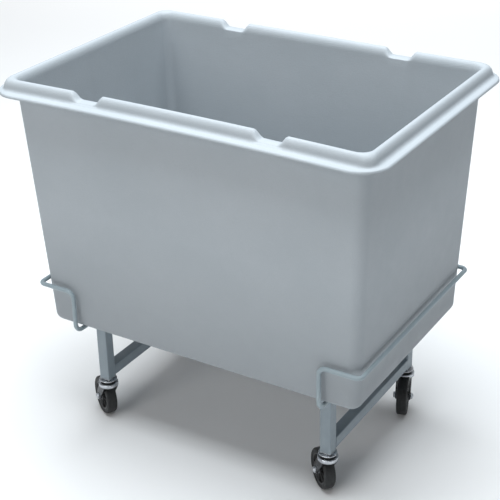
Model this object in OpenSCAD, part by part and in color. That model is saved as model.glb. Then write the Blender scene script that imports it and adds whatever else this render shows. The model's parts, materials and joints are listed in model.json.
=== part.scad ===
// Laundry cart: a one-piece moulded tub that rests on a welded square-tube
// frame, held sideways by two bent wire guards, rolling on four swivel casters.
// Row frame: origin on the floor under the middle, +X along the long side,
// +Y towards the rear, +Z up. Millimetres.

/* [Tub] */
// Half length of the tub wall, outside, just under the rim
tub_half_length = 398; // [300:1:600]
// Half width of the tub wall, outside, just under the rim
tub_half_width = 264.5; // [200:0.5:400]
// How much narrower each wall stands at the floor
tub_draft = 24; // [5:0.5:60]
// Outside corner radius of the tub wall
tub_corner = 24; // [22:1:80]
// Outside corner radius of the rim lip
lip_corner = 58; // [40:1:90]
// Height of the underside of the tub floor
tub_floor_z = 258.5; // [200:0.5:400]
// Height of the lower edge of the rim lip
lip_z = 790; // [600:1:1000]
// How far the lip stands out from the wall
lip_reach = 36.5; // [34:0.5:60]
// Height of the top of the rim bead
rim_top_z = 819.5; // [620:0.5:1040]
// Wall thickness of the tub
tub_wall = 5; // [3:0.5:8]
// Inward bow of the front rim at mid length
front_bow = 9; // [0:0.5:15]
// Distance of each rim notch from the middle
notch_x = 205.5; // [120:0.5:300]
// Length of the flat bottom of a notch
notch_flat = 38; // [20:1:80]
// Length of each sloped end of a notch
notch_ramp = 18; // [8:1:40]
// Share of the rim bead's height that a notch takes away
notch_depth = 0.84; // [0.4:0.02:0.9]

/* [Frame] */
// Outside width of the square tube
tube = 25.4; // [20:0.1:40]
// Wall thickness of the square tube
tube_wall = 1.6; // [1:0.1:3]
// Outside corner radius of the square tube
tube_corner = 2.4; // [2:0.1:4]
// Half length over the legs
frame_half_length = 294; // [200:1:400]
// Half width over the legs
frame_half_width = 195.4; // [150:0.1:300]
// Height of the underside of the leg ends
leg_foot_z = 104.8; // [90:0.1:160]
// Height of the end bar's underside above the leg foot
end_bar_gap = 3; // [2:0.5:40]
// Distance of each floor rail from the middle
floor_rail_y = 110; // [60:1:160]

/* [Wire guards] */
// Wire diameter
wire_d = 9.5; // [6:0.5:12]
// Height of the guard's top run
guard_top_z = 351; // [300:1:450]
// Half length to the middle of the end run
guard_half_length = 388; // [380:1:450]
// Half width to the middle of the side run
guard_half_width = 254.4; // [240:0.1:320]
// Length of each foot along the frame, past the leg face
guard_foot = 60; // [30:1:120]

/* [Casters] */
// Wheel diameter
wheel_d = 88.9; // [72:0.1:89.4]
// Wheel width over the tread
wheel_w = 24; // [18:0.5:32]
// Distance the axle trails behind the stem
trail = 25.4; // [20:0.1:40]
// Rest angle of the front left caster
angle_fl = 148; // [0:1:359]
// Rest angle of the front right caster
angle_fr = 140.5; // [0:0.5:359]
// Rest angle of the rear left caster
angle_rl = 214; // [0:1:359]
// Rest angle of the rear right caster
angle_rr = 290; // [0:1:359]

/* [Hidden] */
$fn = 48;
wheel_fn = 72;
// How far a cutter runs past the face it opens
over = 1;
seat_gap = 0.4;
frame_top_z = tub_floor_z - seat_gap;
socket_flange = 2;
leg_z = leg_foot_z + socket_flange;
leg_h = frame_top_z - leg_z;
leg_x = frame_half_length - tube / 2;
leg_y = frame_half_width - tube / 2;
bore_w = tube - 2 * tube_wall;
bar_len = 2 * (frame_half_width - tube);
rail_len = 2 * (frame_half_length - tube);
wire_r = wire_d / 2;
foot_z = frame_top_z - wire_r - 0.2;
foot_x = frame_half_length + wire_r;
foot_end_y = frame_half_width - guard_foot;
foot_bend = 20;
top_bend = 16;
corner_bend = 12;
socket_depth = 38;
stem_r = 5.5;
stem_h = socket_depth - 4;
stem_tip = 1;
collar_r = 12;
race_top_r = 20;
race_top_z = -2;
race_top_t = 3;
race_low_z = race_top_z - race_top_t;
race_lip = 2;
crown_r = 22;
crown_d = 11;
crown_t = 3;
crown_skirt = 9;
crown_rim = 2.4;
crown_low_z = -crown_d - crown_t;
skirt_z = -crown_d - crown_skirt;
cage_in_r = 8;
cage_out_r = 16.5;
cage_h = 5.6;
king_r = 4;
king_head_r = 7;
king_head_gap = 0.4;
king_head_t = 3.2;
running_gap = 0.05;
axle_r = 4;
axle_slack = 0.02;
axle_d = leg_foot_z - wheel_d / 2;
plate_in = wheel_w / 2 + 2.2;
plate_t = 2.8;
plate_out = plate_in + plate_t;
plate_end_r = 10;
plate_neck = 13;
wheel_clear = 1.5;
hub_r = wheel_d / 2 - 11;
hub_web = 6;
hub_boss_r = 11;
rim_step = 1.5;
shoulder = 4.5;
cap_t = 1.6;
cap_r = 9;
hub_half = wheel_w / 2 + 0.2;
bushing_r = 6;
hex_r = 7.5;
head_h = 4.6;
nut_h = 5.2;
bolt_tail = 1.2;
frame_grey = [0.49, 0.54, 0.57];
wire_grey = [0.52, 0.57, 0.60];
zinc = [0.75, 0.76, 0.78];

// Stations around a rounded rectangle: [side x, side y, arc x, arc y].
// Side values run from -1 to 1 along the straight parts, arc values are the
// direction from the corner centre.
arc_steps = 6;
straight = tub_half_length - tub_corner;
function ramp_list(c, s) = [for (t = [0, 0.3, 0.7, 1])
  c + s * (notch_flat / 2 + notch_ramp * (1 - t))];
function ramp_back(c, s) = [for (t = [1, 0.7, 0.3, 0])
  c + s * (notch_flat / 2 + notch_ramp * (1 - t))];
long_x = concat(
  ramp_list(-notch_x, -1), ramp_back(-notch_x, 1),
  [-straight * 0.22, 0, straight * 0.22],
  ramp_list(notch_x, -1), ramp_back(notch_x, 1));
long_n = len(long_x);
front = [for (x = long_x) [x / straight, -1, 0, -1]];
rear = [for (i = [long_n - 1:-1:0]) [long_x[i] / straight, 1, 0, 1]];
function arc(cx, cy, a0) = [for (i = [0:arc_steps])
  [cx, cy, cos(a0 + 90 * i / arc_steps), sin(a0 + 90 * i / arc_steps)]];
loop = concat(front, arc(1, -1, -90), [[1, 0, 1, 0]], arc(1, 1, 0), rear,
  arc(-1, 1, 90), [[-1, 0, -1, 0]], arc(-1, -1, 180));
loop_n = len(loop);

// Wall half sizes at a height
function taper(z) = tub_draft * (lip_z - z) / (lip_z - tub_floor_z);
function half_x(z) = tub_half_length - taper(z);
function half_y(z) = tub_half_width - taper(z);

// Section of the shell: [outset from the wall's outside, height]
fil_out = 17;
fil_in = 16;
bead_h = 20;
cove_z = rim_top_z - bead_h;
bead_mid = 6.6;
bead_half = bead_mid + tub_wall;
bead_foot = bead_mid + bead_half;
lip_edge = 6.5;
lip_under_z = lip_z + 2;
lip_in = lip_reach - tub_wall;
// Corner radius at an outset: tighter inside the wall, even under the bead, wide at the lip
function corner_r(e) = tub_corner + min(e, 0)
  + (lip_corner - tub_corner) * max(0, e - bead_foot) / (lip_reach - bead_foot);
section = concat(
  [for (t = [0:22.5:90]) [-fil_out * (1 - sin(t)), tub_floor_z + fil_out * (1 - cos(t))]],
  [[0, lip_z - 8], [0, lip_z - 2], [3, lip_under_z - 0.5], [lip_in, lip_under_z],
   [lip_in, lip_z], [lip_reach - 1, lip_z], [lip_reach, lip_z + 1],
   [lip_reach, lip_z + lip_edge - 2], [lip_reach - 2, lip_z + lip_edge],
   [bead_foot + 8, cove_z - 1.5], [bead_foot + 2.5, cove_z - 0.8]],
  [for (t = [12, 30, 50, 70, 90, 110, 130, 150, 168])
    [bead_mid + bead_half * cos(t), cove_z + bead_h * sin(t)]],
  [[-tub_wall, cove_z - 4], [-tub_wall, (cove_z + tub_floor_z) / 2]],
  [for (t = [90:-22.5:0])
    [-tub_wall - fil_in * (1 - sin(t)),
     tub_floor_z + tub_wall + fil_in * (1 - cos(t))]]);
section_n = len(section);

// Share of full notch depth at a place along the long side
function notch_share(x) = let (d = abs(abs(x) - notch_x) - notch_flat / 2)
  d <= 0 ? 1 : d >= notch_ramp ? 0 : 0.5 + 0.5 * cos(180 * d / notch_ramp);
// Height after the notch lowers the bead
function notched(z, x) = z <= cove_z ? z
  : cove_z + (z - cove_z) * (1 - notch_depth * notch_share(x));
// Inward bow of the front wall, growing towards the rim
function bow(x, z) = front_bow * max(0, 1 - pow(x / straight, 2))
  * pow(max(0, min(1, (z - tub_floor_z) / (lip_z - tub_floor_z))), 2);
function shell_point(s, q) = let (
    e = s[0],
    z = s[1],
    r = corner_r(e),
    zw = min(z, lip_z),
    on_long = abs(q[0]) < 1,
    x = on_long ? q[0] * (half_x(zw) - tub_corner)
      : q[0] * (half_x(zw) + e - r) + q[2] * r,
    y = q[1] * (half_y(zw) + e - r) + q[3] * r,
    zn = on_long ? notched(z, x) : z,
    yb = y < 0 ? y + bow(q[0] * straight, z) : y
  ) [x, yb, zn];
// Rings of shell points, then the middle of the floor's underside and top
shell_points = concat([for (s = section) for (q = loop) shell_point(s, q)],
  [[0, 0, tub_floor_z], [0, 0, tub_floor_z + tub_wall]]);
under_mid = section_n * loop_n;
floor_mid = under_mid + 1;
function at(i, j) = i * loop_n + (j + loop_n) % loop_n;
shell_faces = concat(
  [for (j = [0:loop_n - 1]) [under_mid, at(0, j), at(0, j + 1)]],
  [for (i = [0:section_n - 2]) for (j = [0:loop_n - 1])
    [at(i, j), at(i + 1, j), at(i + 1, j + 1)]],
  [for (i = [0:section_n - 2]) for (j = [0:loop_n - 1])
    [at(i, j), at(i + 1, j + 1), at(i, j + 1)]],
  [for (j = [0:loop_n - 1])
    [floor_mid, at(section_n - 1, j + 1), at(section_n - 1, j)]]);

// ---- Shared shapes ----

module rounded_square(w, r) {
  square([w - 2 * r, w], center = true);
  square([w, w - 2 * r], center = true);
  for (x = [-1, 1], y = [-1, 1])
    translate([x * (w / 2 - r), y * (w / 2 - r)])
      circle(r, $fn = 24);
}

// Square tube standing on the origin, along +Z
module square_tube(len) {
  linear_extrude(len)
    difference() {
      rounded_square(tube, tube_corner);
      rounded_square(bore_w, tube_corner - tube_wall);
    }
}

module leg(sx, sy) {
  color(frame_grey)
    translate([sx * leg_x, sy * leg_y, leg_z])
      square_tube(leg_h);
}

module end_bar(sx, z) {
  color(frame_grey)
    translate([sx * leg_x, -bar_len / 2, z + tube / 2])
      rotate([-90, 0, 0])
        square_tube(bar_len);
}

module floor_rail(sy) {
  color(frame_grey)
    translate([-rail_len / 2, sy * floor_rail_y, frame_top_z - tube / 2])
      rotate([0, 90, 0])
        square_tube(rail_len);
}

// Straight wire from p to q, parallel to a row axis
module wire_run(p, q) {
  d = (q - p) / norm(q - p);
  s = [d[1], d[2], d[0]];
  t = cross(d, s);
  multmatrix([[s[0], t[0], d[0], p[0]], [s[1], t[1], d[1], p[1]],
      [s[2], t[2], d[2], p[2]], [0, 0, 0, 1]])
    cylinder(r = wire_r, h = norm(q - p), $fn = 24);
}

// Quarter bend at corner c, arriving along u and leaving along v
module wire_bend(c, u, v, r) {
  o = c - u * r + v * r;
  n = cross(-v, u);
  multmatrix([[-v[0], u[0], n[0], o[0]], [-v[1], u[1], n[1], o[1]],
      [-v[2], u[2], n[2], o[2]], [0, 0, 0, 1]])
    rotate_extrude(angle = 90, $fn = 48)
      translate([r, 0])
        circle(wire_r, $fn = 24);
}

// One half of a guard, from the foot to the middle of the end run
module guard_half(sx, sy) {
  u = [0, sy, 0];
  v = [sx, 0, 0];
  w = [0, 0, 1];
  foot = [sx * foot_x, sy * guard_half_width, foot_z];
  knee = [sx * foot_x, sy * guard_half_width, guard_top_z];
  corner = [sx * guard_half_length, sy * guard_half_width, guard_top_z];
  wire_run([sx * foot_x, sy * foot_end_y, foot_z], foot - u * foot_bend);
  wire_bend(foot, u, w, foot_bend);
  wire_run(foot + w * foot_bend, knee - w * top_bend);
  wire_bend(knee, w, v, top_bend);
  wire_run(knee + v * top_bend, corner - v * corner_bend);
  wire_bend(corner, v, -u, corner_bend);
}

module wire_guard(sx) {
  color(wire_grey) {
    guard_half(sx, -1);
    guard_half(sx, 1);
    wire_run([sx * guard_half_length, corner_bend - guard_half_width, guard_top_z],
      [sx * guard_half_length, guard_half_width - corner_bend, guard_top_z]);
  }
}

// Places a caster part: origin at the leg foot, +X along the trail
module at_caster(sx, sy, a) {
  translate([sx * leg_x, sy * leg_y, leg_foot_z])
    rotate([0, 0, a])
      children();
}

// Places a part on the axle: origin at the axle's middle, +Z along the axle
module on_axle() {
  translate([trail, 0, -axle_d])
    rotate([-90, 0, 0])
      children();
}

module stem_socket() {
  difference() {
    union() {
      linear_extrude(socket_flange)
        rounded_square(tube, tube_corner);
      linear_extrude(socket_depth + socket_flange)
        rounded_square(bore_w, tube_corner - tube_wall);
    }
    translate([0, 0, -over])
      cylinder(r = stem_r, h = socket_depth + socket_flange + 2 * over);
  }
}

// Stem, collar, upper race plate and king pin, turned from one profile
module caster_stem() {
  king_head_z = crown_low_z - king_head_gap;
  rotate_extrude()
    polygon([[0, stem_h], [stem_r - stem_tip, stem_h], [stem_r, stem_h - stem_tip], [stem_r, 0],
      [collar_r, 0], [collar_r, race_top_z],
      [race_top_r - 1, race_top_z], [race_top_r, race_top_z - 0.8],
      [race_top_r, race_low_z], [race_top_r - race_lip, race_low_z],
      [race_top_r - race_lip - 1, race_low_z + 1], [king_r, race_low_z + 1],
      [king_r, king_head_z], [king_head_r, king_head_z],
      [king_head_r, king_head_z - king_head_t / 2],
      [king_head_r - 2, king_head_z - king_head_t], [0, king_head_z - king_head_t]]);
}

// Ball cage between the upper race plate and the fork's crown
module ball_race() {
  cage_edge = 1.5;
  rotate_extrude()
    polygon([[cage_in_r, -crown_d], [cage_out_r - 1, -crown_d],
      [cage_out_r, -crown_d + cage_edge], [cage_out_r, -crown_d + cage_h - cage_edge],
      [cage_out_r - 1, -crown_d + cage_h], [cage_in_r, -crown_d + cage_h]]);
}

// Outline of a fork side plate, in trail and depth
module plate_outline() {
  difference() {
    union() {
      polygon([[-plate_neck, -crown_d - 2], [plate_neck, -crown_d - 2],
        [plate_neck + 6, skirt_z - 4],
        [trail + plate_end_r * 0.93, -axle_d + plate_end_r * 0.38],
        [trail - plate_end_r * 0.86, -axle_d - plate_end_r * 0.5],
        [5 - plate_neck, skirt_z - 10],
        [-plate_neck, skirt_z]]);
      translate([trail, -axle_d])
        circle(plate_end_r);
    }
    translate([trail, -axle_d])
      circle(axle_r);
  }
}

// Pressed crown with its rolled skirt, and a side plate down each side
module fork() {
  difference() {
    union() {
      rotate_extrude()
        polygon([[0, -crown_d], [crown_r - 2, -crown_d], [crown_r - 0.6, -crown_d - 0.6],
          [crown_r, -crown_d - 2], [crown_r, skirt_z], [crown_r - crown_rim, skirt_z],
          [crown_r - crown_rim, crown_low_z], [0, crown_low_z]]);
      for (y = [-plate_in, plate_out])
        translate([0, y, 0])
          rotate([90, 0, 0])
            linear_extrude(plate_t)
              plate_outline();
    }
    translate([0, 0, crown_low_z - over])
      cylinder(r = king_r + running_gap, h = crown_t + 2 * over);
    // Room for the tread under the rear of the crown
    on_axle()
      cylinder(r = wheel_d / 2 + wheel_clear, h = wheel_w + 2 * wheel_clear,
        center = true, $fn = wheel_fn);
  }
}

// Shank from the far plate through the wheel and the nut, with its hex head
module axle_bolt() {
  on_axle() {
    translate([0, 0, -plate_out])
      cylinder(r = axle_r - axle_slack, h = 2 * plate_out + nut_h + bolt_tail);
    translate([0, 0, -plate_out - head_h])
      cylinder(r = hex_r, h = head_h, $fn = 6);
  }
}

module axle_nut() {
  on_axle()
    translate([0, 0, plate_out])
      difference() {
        cylinder(r = hex_r, h = nut_h, $fn = 6);
        translate([0, 0, -over])
          cylinder(r = axle_r, h = nut_h + 2 * over);
      }
}

// One side of a turned section, then the other side mirrored back
function both_sides(half) = concat(half,
  [for (i = [len(half) - 1:-1:0]) [half[i][0], -half[i][1]]]);

module tyre() {
  half_w = wheel_w / 2;
  tread_r = wheel_d / 2;
  round_r = shoulder * 0.3;
  on_axle()
    rotate_extrude($fn = wheel_fn)
      polygon(both_sides([[hub_r, rim_step - half_w], [hub_r + 2 * rim_step, -half_w],
        [tread_r - shoulder, -half_w], [tread_r - round_r, round_r - half_w],
        [tread_r, shoulder - half_w]]));
}

module hub() {
  rim_z = wheel_w / 2 - rim_step;
  on_axle()
    rotate_extrude($fn = wheel_fn)
      polygon(both_sides([[bushing_r, -hub_half], [hub_boss_r, -hub_half],
        [hub_boss_r + rim_step, -hub_web], [hub_r - 4, -hub_web],
        [hub_r - 2.5, -rim_z], [hub_r, -rim_z]]));
}

module bushing() {
  sleeve_l = 2 * (hub_half + cap_t);
  on_axle()
    difference() {
      cylinder(r = bushing_r, h = sleeve_l, center = true);
      cylinder(r = axle_r - axle_slack + running_gap, h = sleeve_l + 2 * over, center = true);
    }
}

module bearing_caps() {
  on_axle()
    for (s = [-1, 1])
      translate([0, 0, s * (hub_half + cap_t / 2)])
        difference() {
          cylinder(r = cap_r, h = cap_t, center = true);
          cylinder(r = bushing_r, h = cap_t + 2 * over, center = true);
        }
}

// ---- Tub ----

module tub() {
  color([0.63, 0.66, 0.68])
    polyhedron(shell_points, shell_faces, convexity = 6);
}

// ---- Frame ----

module leg_front_left() leg(-1, -1);
module leg_front_right() leg(1, -1);
module leg_rear_left() leg(-1, 1);
module leg_rear_right() leg(1, 1);
module end_bar_lower_left() end_bar(-1, leg_foot_z + end_bar_gap);
module end_bar_lower_right() end_bar(1, leg_foot_z + end_bar_gap);
module end_bar_upper_left() end_bar(-1, frame_top_z - tube);
module end_bar_upper_right() end_bar(1, frame_top_z - tube);
module floor_rail_front() floor_rail(-1);
module floor_rail_rear() floor_rail(1);
module wire_guard_left() wire_guard(-1);
module wire_guard_right() wire_guard(1);
module stem_sockets() {
  color([0.55, 0.58, 0.60])
    for (x = [-1, 1], y = [-1, 1])
      translate([x * leg_x, y * leg_y, leg_foot_z])
        stem_socket();
}

// ---- Casters ----

module stem_fl() color(zinc) at_caster(-1, -1, angle_fl) caster_stem();
module stem_fr() color(zinc) at_caster(1, -1, angle_fr) caster_stem();
module stem_rl() color(zinc) at_caster(-1, 1, angle_rl) caster_stem();
module stem_rr() color(zinc) at_caster(1, 1, angle_rr) caster_stem();
module fork_fl() color(zinc) at_caster(-1, -1, angle_fl) fork();
module fork_fr() color(zinc) at_caster(1, -1, angle_fr) fork();
module fork_rl() color(zinc) at_caster(-1, 1, angle_rl) fork();
module fork_rr() color(zinc) at_caster(1, 1, angle_rr) fork();
module ball_race_fl() color("dimgray") at_caster(-1, -1, angle_fl) ball_race();
module ball_race_fr() color("dimgray") at_caster(1, -1, angle_fr) ball_race();
module ball_race_rl() color("dimgray") at_caster(-1, 1, angle_rl) ball_race();
module ball_race_rr() color("dimgray") at_caster(1, 1, angle_rr) ball_race();
module axle_bolt_fl() color(zinc) at_caster(-1, -1, angle_fl) axle_bolt();
module axle_bolt_fr() color(zinc) at_caster(1, -1, angle_fr) axle_bolt();
module axle_bolt_rl() color(zinc) at_caster(-1, 1, angle_rl) axle_bolt();
module axle_bolt_rr() color(zinc) at_caster(1, 1, angle_rr) axle_bolt();
module axle_nut_fl() color(zinc) at_caster(-1, -1, angle_fl) axle_nut();
module axle_nut_fr() color(zinc) at_caster(1, -1, angle_fr) axle_nut();
module axle_nut_rl() color(zinc) at_caster(-1, 1, angle_rl) axle_nut();
module axle_nut_rr() color(zinc) at_caster(1, 1, angle_rr) axle_nut();
module tyre_fl() color([0.15, 0.15, 0.16]) at_caster(-1, -1, angle_fl) tyre();
module tyre_fr() color([0.15, 0.15, 0.16]) at_caster(1, -1, angle_fr) tyre();
module tyre_rl() color([0.15, 0.15, 0.16]) at_caster(-1, 1, angle_rl) tyre();
module tyre_rr() color([0.15, 0.15, 0.16]) at_caster(1, 1, angle_rr) tyre();
module hub_fl() color([0.19, 0.19, 0.20]) at_caster(-1, -1, angle_fl) hub();
module hub_fr() color([0.19, 0.19, 0.20]) at_caster(1, -1, angle_fr) hub();
module hub_rl() color([0.19, 0.19, 0.20]) at_caster(-1, 1, angle_rl) hub();
module hub_rr() color([0.19, 0.19, 0.20]) at_caster(1, 1, angle_rr) hub();
module bushing_fl() color([0.6, 0.6, 0.62]) at_caster(-1, -1, angle_fl) bushing();
module bushing_fr() color([0.6, 0.6, 0.62]) at_caster(1, -1, angle_fr) bushing();
module bushing_rl() color([0.6, 0.6, 0.62]) at_caster(-1, 1, angle_rl) bushing();
module bushing_rr() color([0.6, 0.6, 0.62]) at_caster(1, 1, angle_rr) bushing();
module bearing_caps_fl() color(zinc) at_caster(-1, -1, angle_fl) bearing_caps();
module bearing_caps_fr() color(zinc) at_caster(1, -1, angle_fr) bearing_caps();
module bearing_caps_rl() color(zinc) at_caster(-1, 1, angle_rl) bearing_caps();
module bearing_caps_rr() color(zinc) at_caster(1, 1, angle_rr) bearing_caps();

tub();
leg_front_left();
leg_front_right();
leg_rear_left();
leg_rear_right();
end_bar_lower_left();
end_bar_lower_right();
end_bar_upper_left();
end_bar_upper_right();
floor_rail_front();
floor_rail_rear();
wire_guard_left();
wire_guard_right();
stem_sockets();
stem_fl();
stem_fr();
stem_rl();
stem_rr();
fork_fl();
fork_fr();
fork_rl();
fork_rr();
ball_race_fl();
ball_race_fr();
ball_race_rl();
ball_race_rr();
axle_bolt_fl();
axle_bolt_fr();
axle_bolt_rl();
axle_bolt_rr();
axle_nut_fl();
axle_nut_fr();
axle_nut_rl();
axle_nut_rr();
tyre_fl();
tyre_fr();
tyre_rl();
tyre_rr();
hub_fl();
hub_fr();
hub_rl();
hub_rr();
bushing_fl();
bushing_fr();
bushing_rl();
bushing_rr();
bearing_caps_fl();
bearing_caps_fr();
bearing_caps_rl();
bearing_caps_rr();
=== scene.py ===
"""Looks of the laundry cart: moulded tub, painted tube frame, wire guards and zinc casters."""

import json
import math

import bmesh
import bpy
from mathutils import Matrix, Vector, noise


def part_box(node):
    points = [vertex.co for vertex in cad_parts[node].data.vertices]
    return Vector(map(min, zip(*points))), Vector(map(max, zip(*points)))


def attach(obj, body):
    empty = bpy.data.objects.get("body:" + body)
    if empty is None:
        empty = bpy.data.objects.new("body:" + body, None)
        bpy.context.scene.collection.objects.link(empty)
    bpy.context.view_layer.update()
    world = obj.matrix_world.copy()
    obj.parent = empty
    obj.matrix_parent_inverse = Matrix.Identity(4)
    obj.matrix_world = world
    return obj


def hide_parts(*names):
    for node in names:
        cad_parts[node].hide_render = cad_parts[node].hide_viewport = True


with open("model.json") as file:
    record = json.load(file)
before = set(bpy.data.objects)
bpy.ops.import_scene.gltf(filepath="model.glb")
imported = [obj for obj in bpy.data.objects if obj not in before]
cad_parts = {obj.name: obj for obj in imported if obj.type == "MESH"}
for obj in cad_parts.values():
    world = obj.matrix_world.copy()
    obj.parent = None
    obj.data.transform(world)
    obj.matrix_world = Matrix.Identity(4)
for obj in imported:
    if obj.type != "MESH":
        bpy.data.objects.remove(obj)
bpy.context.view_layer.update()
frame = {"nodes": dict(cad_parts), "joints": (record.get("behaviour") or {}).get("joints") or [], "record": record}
MM = 0.001

# ---------------------------------------------------------------- dimensions

tub_low, tub_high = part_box("tub")
leg_low, leg_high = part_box("leg_front_left")
bar_low, bar_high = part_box("end_bar_lower_left")
upper_low, upper_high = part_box("end_bar_upper_left")
guard_low, guard_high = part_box("wire_guard_right")
joints = {j["name"]: j for j in frame["joints"]}
CORNERS = ("fl", "fr", "rl", "rr")

TUBE = leg_high.x - leg_low.x
TUB_WALL = 5 * MM
TUB_DRAFT = 24 * MM
TUB_CORNER = 24 * MM
LIP_CORNER = 58 * MM
LIP_REACH = 36.5 * MM
LIP_DROP = 29.5 * MM
LIP_EDGE = 6.5 * MM
BOTTOM_FILLET = 17 * MM
FLOOR_FILLET = 16 * MM
FRONT_BOW = 9 * MM
NOTCH_X = 205.5 * MM
NOTCH_FLAT = 38 * MM
NOTCH_RAMP = 18 * MM
NOTCH_DEPTH = 0.84
BEAD_RISE = 20 * MM
BEAD_MID = 6.6 * MM
BEAD_HALF = BEAD_MID + TUB_WALL
BEAD_FOOT = BEAD_MID + BEAD_HALF

CROWN_D = 11 * MM
CROWN_SKIRT = 9 * MM
leg_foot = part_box("stem_sockets")[0].z
SKIRT_Z = leg_foot - CROWN_D - CROWN_SKIRT
floor_z = tub_low.z
rim_z = tub_high.z
lip_z = rim_z - LIP_DROP
cove_z = rim_z - BEAD_RISE
half_x = tub_high.x - LIP_REACH
half_y = tub_high.y - LIP_REACH


# ----------------------------------------------------------------- materials

class Nodes:
    """A short way to write a material's node tree."""

    def __init__(self, name):
        self.material = bpy.data.materials.new(name)
        self.material.use_nodes = True
        self.tree = self.material.node_tree
        self.shader = self.tree.nodes["Principled BSDF"]
        self.place = self.add("ShaderNodeTexCoord").outputs["Object"]

    def add(self, kind, **settings):
        node = self.tree.nodes.new(kind)
        for key, value in settings.items():
            if hasattr(node, key):
                setattr(node, key, value)
            else:
                node.inputs[key].default_value = value
        return node

    def link(self, a, b):
        self.tree.links.new(a, b)

    def scaled(self, x, y, z):
        node = self.add("ShaderNodeMapping")
        node.inputs["Scale"].default_value = (x, y, z)
        self.link(self.place, node.inputs["Vector"])
        return node.outputs["Vector"]

    def noise(self, scale, detail=3.0, rough=0.55, vector=None):
        node = self.add("ShaderNodeTexNoise")
        node.inputs["Scale"].default_value = scale
        node.inputs["Detail"].default_value = detail
        node.inputs["Roughness"].default_value = rough
        self.link(vector or self.place, node.inputs["Vector"])
        return node.outputs["Fac"]

    def spread(self, value, low, high, out_low=0.0, out_high=1.0):
        node = self.add("ShaderNodeMapRange")
        node.inputs["From Min"].default_value = low
        node.inputs["From Max"].default_value = high
        node.inputs["To Min"].default_value = out_low
        node.inputs["To Max"].default_value = out_high
        self.link(value, node.inputs["Value"])
        return node.outputs["Result"]

    def mix(self, share, a, b):
        node = self.add("ShaderNodeMix", data_type="RGBA")
        self.link(share, node.inputs["Factor"])
        for socket, value in ((node.inputs[6], a), (node.inputs[7], b)):
            if isinstance(value, tuple):
                socket.default_value = (*value, 1.0)
            else:
                self.link(value, socket)
        return node.outputs[2]

    def multiply(self, a, b):
        node = self.add("ShaderNodeMath", operation="MULTIPLY")
        for socket, value in zip(node.inputs, (a, b)):
            if isinstance(value, float):
                socket.default_value = value
            else:
                self.link(value, socket)
        return node.outputs[0]

    def plus(self, a, b):
        node = self.add("ShaderNodeMath", operation="ADD")
        self.link(a, node.inputs[0])
        self.link(b, node.inputs[1])
        return node.outputs[0]

    def height(self):
        node = self.add("ShaderNodeSeparateXYZ")
        self.link(self.place, node.inputs[0])
        return node.outputs["Z"]

    def bump(self, value, distance, strength=1.0, after=None):
        node = self.add("ShaderNodeBump")
        node.inputs["Strength"].default_value = strength
        node.inputs["Distance"].default_value = distance
        self.link(value, node.inputs["Height"])
        if after is not None:
            self.link(after, node.inputs["Normal"])
        return node.outputs["Normal"]

    def finish(self, color, rough, normal=None, metallic=0.0, **constants):
        self.link(color, self.shader.inputs["Base Color"])
        self.link(rough, self.shader.inputs["Roughness"])
        if normal is not None:
            self.link(normal, self.shader.inputs["Normal"])
        self.shader.inputs["Metallic"].default_value = metallic
        for key, value in constants.items():
            self.shader.inputs[key.replace("_", " ")].default_value = value
        return self.material


def tub_plastic():
    """Rotationally moulded polyethylene: soft grain, faint mottling, light scuffs, and painted shade darkening the
    lower walls.
    """
    n = Nodes("tub_plastic")
    cloud = n.spread(n.noise(5.0, 3.0), 0.3, 0.7)
    speck = n.spread(n.noise(900.0, 2.0), 0.35, 0.65)
    base = n.mix(cloud, (0.385, 0.420, 0.448), (0.415, 0.447, 0.475))
    base = n.mix(n.multiply(speck, 0.4), base, (0.33, 0.37, 0.40))
    streak = n.noise(14.0, 5.0, 0.65, n.scaled(1.0, 1.0, 0.12))
    scuff = n.spread(streak, 0.62, 0.78, 0.0, 0.16)
    base = n.mix(scuff, base, (0.33, 0.35, 0.37))
    # painted shade: the base colour darkens towards the tub's bottom to stand in for less light reaching the lower
    # walls
    low = n.spread(n.height(), floor_z, floor_z + 0.28, 0.75, 0.0)
    base = n.mix(low, base, (0.255, 0.275, 0.292))
    rough = n.spread(n.noise(38.0, 4.0), 0.3, 0.7, 0.56, 0.70)
    peel = n.bump(n.noise(300.0, 3.0), 0.0005, 0.8)
    grain = n.bump(n.noise(1500.0, 2.0), 0.00007, 0.6, after=peel)
    wave = n.bump(n.noise(9.0, 2.0), 0.004, 0.25, after=grain)
    return n.finish(base, rough, wave, IOR=1.5)


def coat_paint(name, dark, light, rough_low, rough_high):
    """Powder coat on steel: fine orange peel and a little unevenness in tone."""
    n = Nodes(name)
    base = n.mix(n.spread(n.noise(22.0, 4.0), 0.3, 0.7), dark, light)
    dust = n.spread(n.noise(120.0, 5.0, 0.7), 0.58, 0.75, 0.0, 0.25)
    base = n.mix(dust, base, tuple(0.75 * c for c in dark))
    rough = n.spread(n.noise(70.0, 4.0), 0.3, 0.7, rough_low, rough_high)
    peel = n.bump(n.noise(650.0, 2.0), 0.00012, 0.6)
    fine = n.bump(n.noise(2600.0, 1.0), 0.00003, 0.5, after=peel)
    return n.finish(base, rough, fine, IOR=1.5)


def zinc_plate(name, dark=(0.42, 0.44, 0.47), light=(0.74, 0.76, 0.79), rough=0.2):
    """Bright zinc plate with faint clouding, fine scratches and duller spots."""
    n = Nodes(name)
    cloud = n.spread(n.noise(90.0, 5.0, 0.6), 0.3, 0.72)
    base = n.mix(cloud, light, dark)
    scratch = n.noise(420.0, 6.0, 0.7, n.scaled(1.0, 0.18, 2.6))
    value = n.plus(
        n.spread(cloud, 0.0, 1.0, rough, rough + 0.16),
        n.spread(scratch, 0.45, 0.8, 0.0, 0.14),
    )
    bump = n.bump(scratch, 0.00004, 0.5)
    return n.finish(base, value, bump, metallic=1.0)


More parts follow.
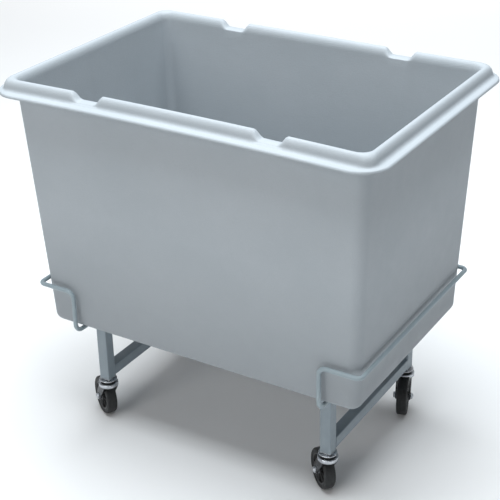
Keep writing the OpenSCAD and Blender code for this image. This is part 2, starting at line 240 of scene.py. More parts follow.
def fork_zinc():
    """Zinc plate, bright on the crown, with a painted dark reflection as a near-black base colour down the side
    plates.
    """
    n = Nodes("fork_zinc")
    cloud = n.spread(n.noise(90.0, 5.0, 0.6), 0.3, 0.72)
    bright = n.mix(cloud, (0.66, 0.68, 0.71), (0.40, 0.42, 0.45))
    painted_dark_reflection = n.mix(cloud, (0.040, 0.042, 0.046), (0.075, 0.078, 0.084))
    # painted reflection: below the skirt the plates switch to a near-black colour that stands in for the dark
    # surroundings they reflect
    share = n.spread(n.height(), SKIRT_Z - 0.001, SKIRT_Z + 0.003)
    scratch = n.noise(420.0, 6.0, 0.7, n.scaled(1.0, 0.18, 2.6))
    rough = n.plus(n.spread(cloud, 0.0, 1.0, 0.22, 0.38), n.spread(scratch, 0.45, 0.8, 0.0, 0.14))
    return n.finish(n.mix(share, painted_dark_reflection, bright), rough, n.bump(scratch, 0.00004, 0.5), metallic=1.0)


def dark_steel():
    """Greased dark steel of the ball cages."""
    n = Nodes("race_steel")
    grease = n.spread(n.noise(160.0, 5.0), 0.35, 0.65)
    base = n.mix(grease, (0.030, 0.030, 0.032), (0.075, 0.073, 0.070))
    rough = n.spread(grease, 0.0, 1.0, 0.28, 0.55)
    bump = n.bump(n.noise(500.0, 3.0), 0.0001, 0.5)
    return n.finish(base, rough, bump, metallic=0.7)


def tyre_rubber():
    """Hard black rubber with dust on the tread and a fine moulded skin."""
    n = Nodes("tyre_rubber")
    dust = n.spread(n.noise(70.0, 6.0, 0.7), 0.48, 0.78)
    base = n.mix(dust, (0.010, 0.011, 0.012), (0.026, 0.026, 0.025))
    near_floor = n.spread(n.height(), 0.0, 0.02, 0.4, 0.0)
    base = n.mix(near_floor, base, (0.032, 0.031, 0.030))
    rough = n.spread(n.noise(180.0, 4.0), 0.3, 0.7, 0.48, 0.70)
    bump = n.bump(n.noise(1100.0, 3.0), 0.00010, 0.7)
    return n.finish(base, rough, bump, IOR=1.5)


def hub_plastic():
    """Black moulded wheel centre, a little smoother than the rubber."""
    n = Nodes("hub_plastic")
    base = n.mix(n.spread(n.noise(60.0, 5.0), 0.35, 0.7), (0.020, 0.021, 0.022), (0.040, 0.040, 0.041))
    rough = n.spread(n.noise(240.0, 4.0), 0.3, 0.7, 0.35, 0.52)
    bump = n.bump(n.noise(900.0, 2.0), 0.00008, 0.6)
    return n.finish(base, rough, bump, IOR=1.5)


FRAME_DARK = (0.225, 0.272, 0.305)
FRAME_LIGHT = (0.262, 0.308, 0.342)
MATERIALS = {
    "tub_plastic": tub_plastic(),
    "frame_paint": coat_paint("frame_paint", FRAME_DARK, FRAME_LIGHT, 0.36, 0.48),
    "wire_paint": coat_paint("wire_paint", (0.265, 0.325, 0.355), (0.300, 0.360, 0.390), 0.36, 0.48),
    "socket_zinc": zinc_plate("socket_zinc", (0.28, 0.30, 0.32), (0.42, 0.44, 0.46), 0.38),
    "caster_zinc": zinc_plate("caster_zinc"),
    "fork_zinc": fork_zinc(),
    "race_steel": dark_steel(),
    "bushing_steel": zinc_plate("bushing_steel", (0.30, 0.30, 0.31), (0.50, 0.50, 0.51), 0.30),
    "tyre_rubber": tyre_rubber(),
    "hub_plastic": hub_plastic(),
}
SLOT_OF = {s["node"]: s["material_slot"] for s in frame["record"]["subparts"]}


# ------------------------------------------------------------- mesh helpers

def piece(name, verts, faces, slot, body, stands_for=(), sharp=35.0):
    """A mesh in the row frame, in metres, with its material, body and CAD node."""
    mesh = bpy.data.meshes.new(name)
    mesh.from_pydata([tuple(v) for v in verts], [], [tuple(f) for f in faces])
    mesh.validate()
    work = bmesh.new()
    work.from_mesh(mesh)
    bmesh.ops.remove_doubles(work, verts=work.verts, dist=1e-7)
    bmesh.ops.recalc_face_normals(work, faces=work.faces)
    work.to_mesh(mesh)
    work.free()
    mesh.shade_smooth()
    mesh.set_sharp_from_angle(angle=math.radians(sharp))
    obj = bpy.data.objects.new(name, mesh)
    bpy.context.scene.collection.objects.link(obj)
    obj.data.materials.append(MATERIALS[slot])
    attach(obj, body)
    if stands_for:
        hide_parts(*stands_for)
    return obj


class Shape:
    """Collects vertices and faces from several simple forms."""

    def __init__(self):
        self.verts = []
        self.faces = []

    def add(self, verts, faces, place=None):
        start = len(self.verts)
        place = place or Matrix.Identity(4)
        self.verts += [place @ Vector(v) for v in verts]
        self.faces += [[start + i for i in f] for f in faces]

    def rings(self, rings, closed_ends=True, place=None):
        """Joins rings of equal length into a skin, with fans over the ends."""
        count = len(rings[0])
        verts = [v for ring in rings for v in ring]
        faces = []
        for i in range(len(rings) - 1):
            for j in range(count):
                k = (j + 1) % count
                faces.append((i * count + j, i * count + k, (i + 1) * count + k, (i + 1) * count + j))
        if closed_ends:
            faces.append(tuple(range(count))[::-1])
            faces.append(tuple((len(rings) - 1) * count + j for j in range(count)))
        self.add(verts, faces, place)

    def lathe(self, profile, steps=64, place=None, closed=True):
        """Turns (radius, height) points about Z. A closed profile makes a ring."""
        verts, faces, count = [], [], len(profile)
        for i in range(steps):
            a = 2 * math.pi * i / steps
            verts += [(r * math.cos(a), r * math.sin(a), z) for r, z in profile]
        last = count if closed else count - 1
        for i in range(steps):
            for j in range(last):
                k, m = (j + 1) % count, (i + 1) % steps
                faces.append((i * count + j, i * count + k, m * count + k, m * count + j))
        self.add(verts, faces, place)

    def bevelled(self, outline, thickness, bevel, place=None, steps=3):
        """A plate standing on Z = 0 with rounded edges, from a 2-D outline."""
        rings = []
        for i in range(steps + 1):
            t = math.pi / 2 * i / steps
            rings.append((bevel * (1 - math.sin(t)), bevel * (1 - math.cos(t))))
        levels = rings + [(inset, thickness - z) for inset, z in reversed(rings)]
        self.rings([[(x, y, z) for x, y in inset_outline(outline, inset)] for inset, z in levels],
                   place=place)


def inset_outline(points, distance):
    """Moves a counter-clockwise outline inwards by a distance."""
    out = []
    count = len(points)
    for i, p in enumerate(points):
        a, b = Vector(points[i - 1]), Vector(points[(i + 1) % count])
        p = Vector(p)
        e1, e2 = (p - a).normalized(), (b - p).normalized()
        n1, n2 = Vector((-e1.y, e1.x)), Vector((-e2.y, e2.x))
        n = (n1 + n2)
        n = n / max(n.dot(n1), 0.3) if n.length > 1e-9 else n1
        out.append(tuple(p + n * distance))
    return out


def arc(cx, cy, rx, ry, a0, a1, steps):
    """Points on an ellipse arc, angles in degrees."""
    return [(cx + rx * math.cos(math.radians(a0 + (a1 - a0) * i / steps)),
             cy + ry * math.sin(math.radians(a0 + (a1 - a0) * i / steps)))
            for i in range(steps + 1)]


def bezier(p, q, r, s, steps):
    """Points on a cubic curve, without its last one."""
    out = []
    for i in range(steps):
        t = i / steps
        u = 1 - t
        out.append(tuple(u ** 3 * a + 3 * u * u * t * b + 3 * u * t * t * c + t ** 3 * d
                         for a, b, c, d in zip(p, q, r, s)))
    return out


def tube_along(points, radius, sides=20, ripple=None):
    """Rings round a path. ripple(i) scales the radius at ring i."""
    rings, up = [], None
    for i, p in enumerate(points):
        a, b = points[max(i - 1, 0)], points[min(i + 1, len(points) - 1)]
        d = (Vector(b) - Vector(a)).normalized()
        if up is None:
            up = d.orthogonal().normalized()
        up = (up - d * up.dot(d)).normalized()
        side = d.cross(up)
        r = radius * (ripple(i) if ripple else 1.0)
        rings.append([tuple(Vector(p) + r * (math.cos(2 * math.pi * k / sides) * up
                                             + math.sin(2 * math.pi * k / sides) * side))
                      for k in range(sides)])
    return rings


# ----------------------------------------------------------------------- tub

def smooth_step(t):
    t = min(max(t, 0.0), 1.0)
    return t * t * (3 - 2 * t)


def tub_section():
    """Outset from the wall's outside and height, from the underside round to the floor."""
    wall_steps = 26
    section = arc(-BOTTOM_FILLET, floor_z + BOTTOM_FILLET, BOTTOM_FILLET, BOTTOM_FILLET, -90, 0, 8)
    top = lip_z - 8 * MM
    for i in range(1, wall_steps):
        section.append((0.0, floor_z + BOTTOM_FILLET + (top - floor_z - BOTTOM_FILLET) * i / wall_steps))
    section += bezier((0.0, top), (0.0, lip_z), (0.0, lip_z + 1.8 * MM), (7 * MM, lip_z + 2 * MM), 6)
    inner_lip = LIP_REACH - TUB_WALL
    section += [(7 * MM, lip_z + 2 * MM),
                (inner_lip / 2, lip_z + 2 * MM), (inner_lip - 1 * MM, lip_z + 2 * MM)]
    section += arc(inner_lip + 1.2 * MM, lip_z + 1.2 * MM, 1.2 * MM, 1.2 * MM, 180, 270, 3)
    section += arc(LIP_REACH - 1.4 * MM, lip_z + 1.4 * MM, 1.4 * MM, 1.4 * MM, -90, 0, 4)
    section += arc(LIP_REACH - 5.5 * MM, lip_z + 1.8 * MM, 5.5 * MM, LIP_EDGE - 1.8 * MM, 0, 90, 9)
    flange = (LIP_REACH - 6.4 * MM, lip_z + LIP_EDGE + 0.15 * MM)
    turn = math.radians(16)
    foot = (BEAD_MID + BEAD_HALF * math.cos(turn), cove_z + BEAD_RISE * math.sin(turn))
    section += bezier(flange, (BEAD_FOOT + 9 * MM, cove_z - 1.6 * MM),
                      (BEAD_FOOT + 1.2 * MM, cove_z - 3.4 * MM), foot, 12)
    section += arc(BEAD_MID, cove_z, BEAD_HALF, BEAD_RISE, 16, 180, 23)
    low = floor_z + TUB_WALL + FLOOR_FILLET
    for i in range(1, wall_steps):
        section.append((-TUB_WALL, cove_z + (low - cove_z) * i / wall_steps))
    section += [(x - TUB_WALL, z) for x, z in
                arc(-FLOOR_FILLET, low, FLOOR_FILLET, FLOOR_FILLET, 0, -90, 8)]
    return section


def tub_loop():
    """Stations round the tub: straight share (x, y), corner direction, on a long side."""
    long_steps, short_steps, corner_steps = 176, 40, 14
    loop = []

    def corner(sx, sy, start):
        for i in range(1, corner_steps):
            a = math.radians(start + 90 * i / corner_steps)
            loop.append((sx, sy, math.cos(a), math.sin(a), False))

    for i in range(long_steps + 1):
        loop.append((-1 + 2 * i / long_steps, -1, 0.0, -1.0, True))
    corner(1, -1, -90)
    for i in range(short_steps + 1):
        loop.append((1, -1 + 2 * i / short_steps, 1.0, 0.0, False))
    corner(1, 1, 0)
    for i in range(long_steps + 1):
        loop.append((1 - 2 * i / long_steps, 1, 0.0, 1.0, True))
    corner(-1, 1, 90)
    for i in range(short_steps + 1):
        loop.append((-1, 1 - 2 * i / short_steps, -1.0, 0.0, False))
    corner(-1, -1, 180)
    return loop


def notch_share(x):
    """1 in the flat of a notch, 0 away from it."""
    return 1 - smooth_step((abs(abs(x) - NOTCH_X) - NOTCH_FLAT / 2) / NOTCH_RAMP)


def corner_radius(e):
    """Tighter inside the wall, even under the bead, wide at the lip."""
    past = max(0.0, e - BEAD_FOOT) / (LIP_REACH - BEAD_FOOT)
    return TUB_CORNER + min(e, 0.0) + (LIP_CORNER - TUB_CORNER) * past


def tub_point(e, z, station):
    sx, sy, nx, ny, on_long = station
    share = (lip_z - min(z, lip_z)) / (lip_z - floor_z)
    hx, hy = half_x - TUB_DRAFT * share, half_y - TUB_DRAFT * share
    r = corner_radius(e)
    x = sx * (hx - TUB_CORNER) if abs(sx) < 1 else sx * (hx + e - r) + nx * r
    y = sy * (hy + e - r) + ny * r
    if on_long and z > cove_z:
        z = cove_z + (z - cove_z) * (1 - NOTCH_DEPTH * notch_share(x))
    if y < 0:
        rise = min(max((z - floor_z) / (lip_z - floor_z), 0.0), 1.0) ** 2
        y += FRONT_BOW * max(0.0, 1 - sx ** 2) * rise
    return Vector((x, y, z))


def make_tub():
    section, loop = tub_section(), tub_loop()
    rings = [[tub_point(e, z, s) for s in loop] for e, z in section]
    middle_low = Vector((0, 0, floor_z))
    middle_high = Vector((0, 0, floor_z + TUB_WALL))
    under = [[middle_low.lerp(v, t) for v in rings[0]] for t in (0.05, 0.35, 0.65, 0.88)]
    inside = [[middle_high.lerp(v, t) for v in rings[-1]] for t in (0.9, 0.7, 0.4, 0.05)]
    shape = Shape()
    shape.rings(under + rings + inside)
    # slow unevenness of the moulded walls, always towards the inside of the wall
    for v in shape.verts:
        if floor_z + 0.03 < v.z < lip_z - 0.012:
            depth = 0.5 + 0.5 * noise.noise(v * 4.2)
            inward = Vector((-v.x, -v.y, 0)).normalized()
            v += inward * depth * 0.8 * MM
    return piece("moulded_tub", shape.verts, shape.faces, "tub_plastic", "tub", ("tub",), sharp=60)


make_tub()

# --------------------------------------------------------------- wire guards

WIRE = 4.75 * MM  # radius
GUARD_FOOT = 60 * MM
GUARD_TOP = guard_high.z - WIRE
GUARD_SIDE = guard_high.y - WIRE
GUARD_END = guard_high.x - WIRE
FOOT_X = abs(leg_low.x) + WIRE
FOOT_Z = guard_low.z + WIRE
FOOT_BEND = 20 * MM
TOP_BEND = 16 * MM
END_BEND = 12 * MM


def bend(corner, u, v, radius, steps=12):
    """Quarter bend at a corner, arriving along u and leaving along v."""
    centre = corner - u * radius + v * radius
    return [centre - v * radius * math.cos(a) + u * radius * math.sin(a)
            for a in (math.pi / 2 * i / steps for i in range(steps + 1))]


def guard_path(side):
    """Centre line of one guard, from the front foot round the end to the rear foot."""
    out = Vector((side, 0, 0))
    up = Vector((0, 0, 1))
    back = Vector((0, 1, 0))
    foot_end = abs(leg_low.y) - GUARD_FOOT
    first = [Vector((side * FOOT_X, -foot_end, FOOT_Z))]
    first += bend(Vector((side * FOOT_X, -GUARD_SIDE, FOOT_Z)), -back, up, FOOT_BEND)
    first += bend(Vector((side * FOOT_X, -GUARD_SIDE, GUARD_TOP)), up, out, TOP_BEND)
    first += bend(Vector((side * GUARD_END, -GUARD_SIDE, GUARD_TOP)), out, back, END_BEND)
    mirrored = [Vector((p.x, -p.y, p.z)) for p in reversed(first)]
    return first + mirrored


def make_guard(name, side):
    path = guard_path(side)
    fine = []
    for a, b in zip(path, path[1:]):
        steps = max(1, int((b - a).length / (12 * MM)))
        fine += [a.lerp(b, i / steps) for i in range(steps)]
    fine.append(path[-1])
    shape = Shape()
    shape.rings(tube_along(fine, WIRE * 0.995, sides=24))
    return piece("bent_" + name, shape.verts, shape.faces, "wire_paint", "frame", (name,))


make_guard("wire_guard_left", -1)
make_guard("wire_guard_right", 1)

# ---------------------------------------------------------------- weld beads


def bead(a, b, radius=1.9 * MM):
    """A rippled weld bead from a to b."""
    a, b = Vector(a), Vector(b)
    steps = max(6, int((b - a).length / (0.6 * MM)))
    points = [a.lerp(b, i / steps) for i in range(steps + 1)]

    def ripple(i):
        end = min(i, steps - i) / 3
        return (0.84 + 0.16 * abs(math.sin(i * 0.55))) * min(1.0, 0.35 + 0.65 * end)

    return tube_along(points, radius, sides=10, ripple=ripple)


def make_welds(name, side):
    shape = Shape()
    inner_x = side * (abs(leg_low.x) - TUBE)
    outer_x = side * abs(leg_low.x)
    for sy in (-1, 1):
        face_y = sy * (abs(leg_low.y) - TUBE)
        for low, high in ((bar_low.z, bar_high.z), (upper_low.z, upper_high.z)):
            span = 0.42 * TUBE
            mid_x = (inner_x + outer_x) / 2
            mid_z = (low + high) / 2
            shape.rings(bead((mid_x - span, face_y, high), (mid_x + span, face_y, high)))
            shape.rings(bead((mid_x - span, face_y, low), (mid_x + span, face_y, low)))
            shape.rings(bead((inner_x, face_y, mid_z - span), (inner_x, face_y, mid_z + span)))
        top = abs(leg_low.y) - 2 * MM
        shape.rings(bead((outer_x, sy * top, FOOT_Z - 0.8 * WIRE),
                         (outer_x, sy * (top - 40 * MM), FOOT_Z - 0.8 * WIRE), 1.6 * MM))
    for sy in (-1, 1):
        rail_low, rail_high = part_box("floor_rail_front" if sy < 0 else "floor_rail_rear")
        x = inner_x
        for y in (rail_low.y, rail_high.y):
            shape.rings(bead((x, y, rail_low.z + 3 * MM), (x, y, rail_high.z - 3 * MM)))
        shape.rings(bead((x, rail_low.y + 2 * MM, rail_low.z), (x, rail_high.y - 2 * MM, rail_low.z)))
    return piece(name, shape.verts, shape.faces, "frame_paint", "frame", sharp=70)


make_welds("welds_left", -1)
make_welds("welds_right", 1)

# ------------------------------------------------------------------- casters

WHEEL_R = joints["wheel_spin_fl"]["pos_m"][2]
TYRE_W = 24 * MM
HUB_R = WHEEL_R - 11 * MM
CROWN_R = 22 * MM
PLATE_IN = TYRE_W / 2 + 2.2 * MM
PLATE_T = 2.8 * MM
AXLE_R = 4 * MM
AXLE_D = leg_foot - WHEEL_R
PLATE_END_R = 10 * MM
PLATE_END = PLATE_IN + PLATE_T
HEX_R = 7.5 * MM
BUSHING_R = 6 * MM
STEM_R = 5.5 * MM
STEM_H = 34 * MM
KING_R = 4 * MM
KING_HEAD_R = 7 * MM
HUB_HALF = TYRE_W / 2 + 0.2 * MM
CAP_T = 1.6 * MM
WHEEL_CLEAR = 1.5 * MM
HEAD_H = 4.6 * MM
NUT_H = 5.2 * MM
BOLT_TAIL = 1.2 * MM


def caster_place(c):
    """Matrix of a caster: origin at the leg foot on the stem, +X along the trail."""
    stem = Vector(joints["swivel_" + c]["pos_m"])
    axle = Vector(joints["wheel_spin_" + c]["pos_m"])
    turn = math.atan2(axle.y - stem.y, axle.x - stem.x)
    return Matrix.Translation((stem.x, stem.y, leg_foot)) @ Matrix.Rotation(turn, 4, "Z")


def axle_place(c):
    """Matrix on the axle: origin at its middle, +Z along it."""
    axle = Vector(joints["wheel_spin_" + c]["pos_m"])
    direction = Vector(joints["wheel_spin_" + c]["axis"])
    return Matrix.Translation(axle) @ direction.to_track_quat("Z", "Y").to_matrix().to_4x4()


TRAIL = (Vector(joints["wheel_spin_fl"]["pos_m"]) - Vector(joints["swivel_fl"]["pos_m"])).to_2d().length


def make_fork(c):
    place = caster_place(c)
    shape = Shape()
    r, d, skirt = CROWN_R, CROWN_D, CROWN_SKIRT
    edge = [(4.05 * MM, -d - 3 * MM), (4.05 * MM, -d), (9 * MM, -d), (10.5 * MM, -d - 0.5 * MM),
            (12.5 * MM, -d - 0.5 * MM), (14 * MM, -d)]
    edge += arc(r - 2.2 * MM, -d - 2.2 * MM, 2.2 * MM, 2.2 * MM, 90, 0, 6)
    edge += [(r, -d - skirt + 1.0 * MM)]
    edge += arc(r - 1.2 * MM, -d - skirt + 1.0 * MM, 1.2 * MM, 1.0 * MM, 0, -180, 6)
    edge += [(r - 2.4 * MM, -d - 4.5 * MM), (r - 4 * MM, -d - 3 * MM)]
    crown = Shape()
    crown.lathe(edge, 144)
    # the skirt is cut away where the tread passes under it
    reach = WHEEL_R + WHEEL_CLEAR
    for v in crown.verts:
        if abs(v.y) < TYRE_W / 2 + WHEEL_CLEAR:
            v.z = max(v.z, math.sqrt(max(reach ** 2 - (v.x - TRAIL) ** 2, 0.0)) - AXLE_D)
    shape.add(crown.verts, crown.faces, place)
    outline = plate_outline()
    for s in (-1, 1):
        base = s * (PLATE_IN + PLATE_T / 2) + PLATE_T / 2
        flip = Matrix.Translation((0, base, 0)) @ Matrix.Rotation(math.radians(90), 4, "X")
        shape.bevelled(outline, PLATE_T, 0.7 * MM, place @ flip)
        # raised boss where the axle passes
        boss_z = s * PLATE_END
        boss = axle_place(c) @ Matrix.Translation((0, 0, boss_z))
        shape.lathe([(AXLE_R + 0.3 * MM, 0), (8.6 * MM, 0), (8.0 * MM, s * 0.7 * MM),
                     (AXLE_R + 0.3 * MM, s * 0.7 * MM)], 40, boss)
    fork = piece("pressed_fork_" + c, shape.verts, shape.faces, "caster_zinc", "caster_" + c,
                 ("fork_" + c,), sharp=40)
    # the fork takes the zinc with a painted dark reflection on its side plates
    fork.data.materials[0] = MATERIALS["fork_zinc"]
    return fork


def plate_outline():
    """Fork side plate, in trail and depth, counter-clockwise from the crown's rear."""
    d, s = CROWN_D, CROWN_SKIRT
    axle = (TRAIL, -AXLE_D)
    rear = [(17.5 * MM, -d - s - 1 * MM), (21 * MM, -d - s - 7 * MM)]
    points = [(-13 * MM, -d - 2 * MM), (-13 * MM, -d - s + 1 * MM)]
    points += bezier((-13 * MM, -d - s), (-12 * MM, -d - s - 8 * MM),
                     (axle[0] - 16 * MM, -AXLE_D + 14 * MM),
                     (axle[0] - 9.4 * MM, -AXLE_D - 3.4 * MM), 8)
    points += arc(axle[0], axle[1], PLATE_END_R, PLATE_END_R, 200, 375, 20)
    points += bezier((axle[0] + 9 * MM, -AXLE_D + 8 * MM), (axle[0] + 5 * MM, -AXLE_D + 22 * MM),
                     (19 * MM, -d - s - 10 * MM), rear[0], 7)
    points += [rear[0], (13 * MM, -d - s + 2 * MM), (13 * MM, -d - 2 * MM)]
    return points


def hexagon(radius, z, chamfer=0.0):
    """A ring of 48 points: a hexagon whose corners are cut back by the chamfer."""
    ring = []
    flat = radius * math.cos(math.pi / 6)
    for i in range(48):
        a = 2 * math.pi * i / 48
        reach = flat / math.cos((a + math.pi / 6) % (math.pi / 3) - math.pi / 6)
        reach = min(reach, radius - chamfer)
        ring.append((reach * math.cos(a), reach * math.sin(a), z))
    return ring


def hex_block(shape, radius, low, high, place):
    cut = 0.10 * radius
    lift = 0.6 * MM * (1 if high > low else -1)
    shape.rings([hexagon(radius, low, cut), hexagon(radius, low + lift), hexagon(radius, high - lift),
                 hexagon(radius, high, cut)], place=place)


def make_bolt(c):
    place = axle_place(c)
    end = PLATE_END
    shape = Shape()
    tip = end + NUT_H + BOLT_TAIL
    thread = [(0, -end), (AXLE_R - 0.05 * MM, -end), (AXLE_R - 0.05 * MM, end + 1 * MM)]
    z = end + 1 * MM
    pitch = 0.7 * MM
    while z < tip - 2 * pitch:
        thread += [(AXLE_R - 0.55 * MM, z + pitch / 2), (AXLE_R - 0.05 * MM, z + pitch)]
        z += pitch
    thread += [(AXLE_R - 0.9 * MM, tip), (0, tip)]
    shape.lathe(thread, 32, place, closed=False)
    head = -end - HEAD_H
    hex_block(shape, HEX_R, -end - 0.9 * MM, head, place)
    shape.lathe([(0, -end), (8.2 * MM, -end), (8.2 * MM, -end - 0.9 * MM), (0, -end - 0.9 * MM)], 40,
                place, closed=False)
    return piece("hex_bolt_" + c, shape.verts, shape.faces, "caster_zinc", "caster_" + c,
                 ("axle_bolt_" + c,))


def make_nut(c):
    place = axle_place(c)
    start = PLATE_END
    shape = Shape()
    hex_block(shape, HEX_R, start + 0.7 * MM, start + 4.0 * MM, place)
    collar = [(AXLE_R, start), (AXLE_R, start + NUT_H), (5.0 * MM, start + NUT_H)]
    collar += arc(5.2 * MM, start + NUT_H - 1.2 * MM, 1.2 * MM, 1.2 * MM, 90, 0, 5)
    collar += [(6.4 * MM, start + 3.6 * MM), (6.4 * MM, start)]
    shape.lathe(collar, 40, place)
    return piece("lock_nut_" + c, shape.verts, shape.faces, "caster_zinc", "caster_" + c,
                 ("axle_nut_" + c,))


def make_tyre(c):
    """Solid rubber tyre: crowned tread, rounded shoulders, a fine parting line."""
    half = TYRE_W / 2
    profile = [(HUB_R, -half + 1.5 * MM), (HUB_R + 2.0 * MM, -half + 0.2 * MM),
               (HUB_R + 4.0 * MM, -half), (HUB_R + 5.0 * MM, -half + 0.35 * MM),
               (HUB_R + 5.8 * MM, -half)]
    profile += arc(WHEEL_R - 5.0 * MM, -half + 5.0 * MM, 5.0 * MM - 0.3 * MM, 5.0 * MM, -90, -6, 9)
    one_side = len(profile)
    tread_steps, seam_h = 13, 0.25 * MM
    for i in range(1, tread_steps):
        t = -1 + 2 * i / tread_steps
        seam = seam_h if i in (tread_steps // 2, tread_steps // 2 + 1) else 0.0
        profile.append((WHEEL_R - 0.3 * MM * t * t - seam_h + seam, t * (half - 5 * MM)))
    profile += [(r, -z) for r, z in reversed(profile[:one_side])]
    shape = Shape()
    shape.lathe(profile, 128, axle_place(c))
    return piece("rubber_tyre_" + c, shape.verts, shape.faces, "tyre_rubber", "wheel_" + c,
                 ("tyre_" + c,), sharp=50)


def make_hub(c):
    """Moulded wheel centre: rim ring, thin web with ribs, raised boss."""
    place = axle_place(c)
    half = TYRE_W / 2
    web = 5.5 * MM
    profile = [(BUSHING_R, -HUB_HALF), (10.4 * MM, -HUB_HALF), (11 * MM, -HUB_HALF + 0.6 * MM),
               (12 * MM, -web), (HUB_R - 4.5 * MM, -web), (HUB_R - 3 * MM, -half + 1.9 * MM),
               (HUB_R - 2.4 * MM, -half + 1.5 * MM), (HUB_R, -half + 1.5 * MM)]
    profile += [(r, -z) for r, z in reversed(profile)]
    shape = Shape()
    shape.lathe(profile, 96, place)
    ribs = 8
    outline = [(10.5 * MM, -0.9 * MM), (HUB_R - 3 * MM, -0.7 * MM), (HUB_R - 3 * MM, 0.7 * MM),
               (10.5 * MM, 0.9 * MM)]
    for i in range(ribs):
        spin = Matrix.Rotation(2 * math.pi * i / ribs, 4, "Z")
        low = Matrix.Translation((0, 0, -half + 2.2 * MM))
        shape.bevelled(outline, TYRE_W - 4.4 * MM, 0.3 * MM, place @ spin @ low)
    return piece("moulded_hub_" + c, shape.verts, shape.faces, "hub_plastic", "wheel_" + c,
                 ("hub_" + c,), sharp=35)


def make_caps(c):
    """Pressed bearing caps on both sides of the hub."""
    place = axle_place(c)
    shape = Shape()
    for s in (-1, 1):
        base = s * HUB_HALF
        profile = [(BUSHING_R, base), (9 * MM, base), (9 * MM, base + s * 0.5 * MM),
                   (8.4 * MM, base + s * 1.2 * MM), (7.4 * MM, base + s * CAP_T),
                   (BUSHING_R, base + s * CAP_T)]
        shape.lathe(profile, 48, place)
    return piece("pressed_caps_" + c, shape.verts, shape.faces, "caster_zinc", "wheel_" + c,
                 ("bearing_caps_" + c,))


def make_stem(c):
    """Stem, collar, upper race plate with a rolled edge, and king pin."""
    place = caster_place(c)
    d = CROWN_D + 3 * MM
    profile = [(0, STEM_H), (STEM_R - 1 * MM, STEM_H), (STEM_R, STEM_H - 1 * MM), (STEM_R, 0),
               (11.6 * MM, 0), (12 * MM, -0.5 * MM), (12 * MM, -1.6 * MM), (12.6 * MM, -2 * MM)]
    profile += arc(18.5 * MM, -3.5 * MM, 1.5 * MM, 1.5 * MM, 90, -60, 7)
    profile += [(18 * MM, -5 * MM), (17 * MM, -4 * MM), (KING_R, -4 * MM), (KING_R, -d - 0.4 * MM),
                (KING_HEAD_R, -d - 0.4 * MM), (KING_HEAD_R, -d - 1.8 * MM)]
    profile += arc(0, -d - 1.8 * MM, KING_HEAD_R, 1.8 * MM, -8, -90, 6)
    shape = Shape()
    shape.lathe(profile, 64, place, closed=False)
    return piece("turned_stem_" + c, shape.verts, shape.faces, "caster_zinc", "frame", ("stem_" + c,))


def make_race(c):
    """Ball cage between the race plate and the crown, with the balls showing."""
    place = caster_place(c)
    d = CROWN_D
    shape = Shape()
    shape.lathe([(8 * MM, -d), (14.4 * MM, -d), (14.4 * MM, -d + 5.4 * MM), (8 * MM, -d + 5.4 * MM)],
                48, place)
    balls = 18
    for i in range(balls):
        a = 2 * math.pi * i / balls
        centre = Matrix.Translation((14.3 * MM * math.cos(a), 14.3 * MM * math.sin(a), -d + 2.7 * MM))
        half_round = arc(0, 0, 2.2 * MM, 2.2 * MM, -90, 90, 8)
        shape.lathe([(max(r, 1e-6), z) for r, z in half_round], 12, place @ centre, closed=False)
    return piece("ball_cage_" + c, shape.verts, shape.faces, "race_steel", "caster_" + c,
                 ("ball_race_" + c,))


for corner_name in CORNERS:
    make_fork(corner_name)
    make_bolt(corner_name)
    make_nut(corner_name)
    make_tyre(corner_name)
    make_hub(corner_name)
    make_caps(corner_name)
    make_stem(corner_name)
    make_race(corner_name)

# ---------------------------------------------------- carried-over CAD nodes

for node_name, obj in frame["nodes"].items():
    if obj.hide_render:
        continue
    slot = SLOT_OF[node_name]
    obj.data.materials.clear()
    obj.data.materials.append(MATERIALS[slot])

# --------------------------------------------------------------------- stage


def make_floor():
    mesh = bpy.data.meshes.new("floor")
    reach = 14.0
    mesh.from_pydata([(-reach, -reach, 0), (reach, -reach, 0), (reach, reach, 0), (-reach, reach, 0)],
                     [], [(0, 1, 2, 3)])
    floor = bpy.data.objects.new("floor", mesh)
    bpy.context.scene.collection.objects.link(floor)
    n = Nodes("floor_paint")
    tone = n.mix(n.noise(2.0, 2.0), (0.86, 0.86, 0.86), (0.88, 0.88, 0.88))
    rough = n.spread(n.noise(6.0, 2.0), 0.3, 0.7, 0.85, 0.95)
    mesh.materials.append(n.finish(tone, rough))


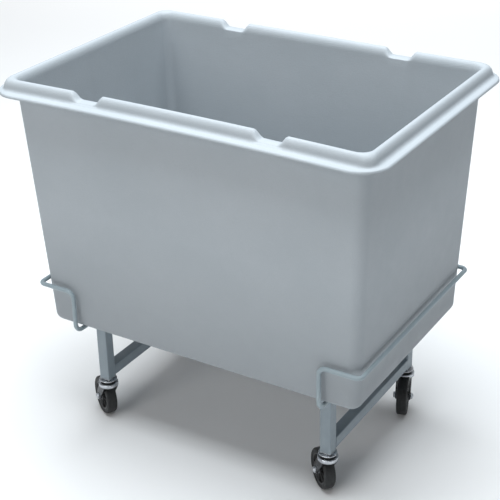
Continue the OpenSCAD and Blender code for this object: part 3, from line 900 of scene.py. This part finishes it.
def area_light(name, place, target, size, watts, color):
    data = bpy.data.lights.new(name, "AREA")
    data.shape = "RECTANGLE"
    data.size, data.size_y = size
    data.energy = watts
    data.color = color
    lamp = bpy.data.objects.new(name, data)
    bpy.context.scene.collection.objects.link(lamp)
    lamp.location = place
    lamp.rotation_mode = "QUATERNION"
    lamp.rotation_quaternion = (Vector(target) - Vector(place)).to_track_quat("-Z", "Y")


def make_lights():
    world = bpy.data.worlds.new("studio")
    bpy.context.scene.world = world
    world.use_nodes = True
    back = world.node_tree.nodes["Background"]
    back.inputs["Color"].default_value = (0.95, 0.97, 1.0, 1.0)
    back.inputs["Strength"].default_value = 0.24
    centre = (0.0, 0.0, 0.5)
    area_light("top", (-0.05, 0.0, 3.6), centre, (3.0, 3.0), 208, (0.91, 0.965, 1.0))
    area_light("front", (-0.9, -4.1, 2.5), centre, (2.0, 2.0), 42, (1.0, 0.975, 0.945))
    area_light("backdrop", (-2.2, 5.4, 3.0), (-2.8, 6.6, 0.0), (6.0, 3.0), 240, (1.0, 1.0, 1.0))


def make_camera():
    """Three-quarter view from the front right, a long lens well above the rim."""
    azimuth, elevation, roll = (math.radians(a) for a in (30.294, 25.902, -0.481))
    distance, target = 2.6519, Vector((0.08916, 0.0, 0.50676))
    back = Vector((math.sin(azimuth) * math.cos(elevation),
                   -math.cos(azimuth) * math.cos(elevation), math.sin(elevation)))
    data = bpy.data.cameras.new("camera")
    data.sensor_width = 36.0
    data.lens = 36.0 * 1268.58 / 500
    data.shift_x, data.shift_y = -0.08, -0.06
    camera = bpy.data.objects.new("camera", data)
    bpy.context.scene.collection.objects.link(camera)
    right = Vector((math.cos(azimuth), math.sin(azimuth), 0))
    up = back.cross(right)
    right_r = math.cos(roll) * right + math.sin(roll) * up
    up_r = -math.sin(roll) * right + math.cos(roll) * up
    camera.matrix_world = Matrix.Translation(target + back * distance) @ Matrix(
        (right_r, up_r, back)).transposed().to_4x4()
    bpy.context.scene.camera = camera


make_floor()
make_lights()
make_camera()
bpy.context.scene.view_settings.view_transform = "Standard"
